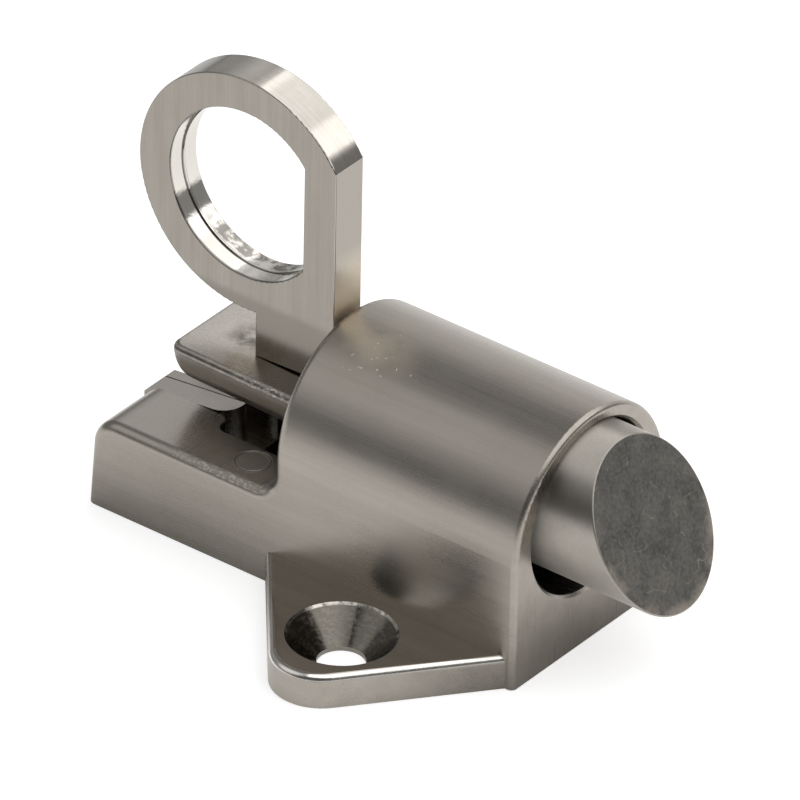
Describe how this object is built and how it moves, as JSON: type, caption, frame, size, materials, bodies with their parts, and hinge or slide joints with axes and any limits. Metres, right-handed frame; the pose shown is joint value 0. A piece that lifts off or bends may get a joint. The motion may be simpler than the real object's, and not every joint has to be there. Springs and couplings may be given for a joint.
{
  "type": "spring bolt latch",
  "caption": "Spring bolt latch: arched barrel casting with countersunk ears, a round bolt with a slanted face, and a flat pull ring that draws the bolt back against its spring.",
  "frame": {"origin": "on the mounting face, midway between the two screw holes", "axes": "+X along the bolt towards its tip, +Y towards one ear, +Z away from the mounting face"},
  "size_m": [0.0557, 0.0454, 0.0407],
  "materials": {
    "casting": "satin nickel on a die casting",
    "bolt": "satin nickel, machined",
    "ring": "satin nickel, brushed along Z",
    "spring": "drawn wire"
  },
  "bodies": {
    "casting": {"latch_body": "casting", "compression_spring": "spring"},
    "bolt_unit": {"bolt": "bolt", "pull_ring": "ring"}
  },
  "joints": [
    {"name": "bolt_slide", "type": "slide", "parent": "casting", "child": "bolt_unit", "axis": [-1, 0, 0], "range_m": [0, 0.0104], "stiffness_N_per_m": 450, "springref_m": -0.008, "deforming": ["compression_spring"]}
  ]
}
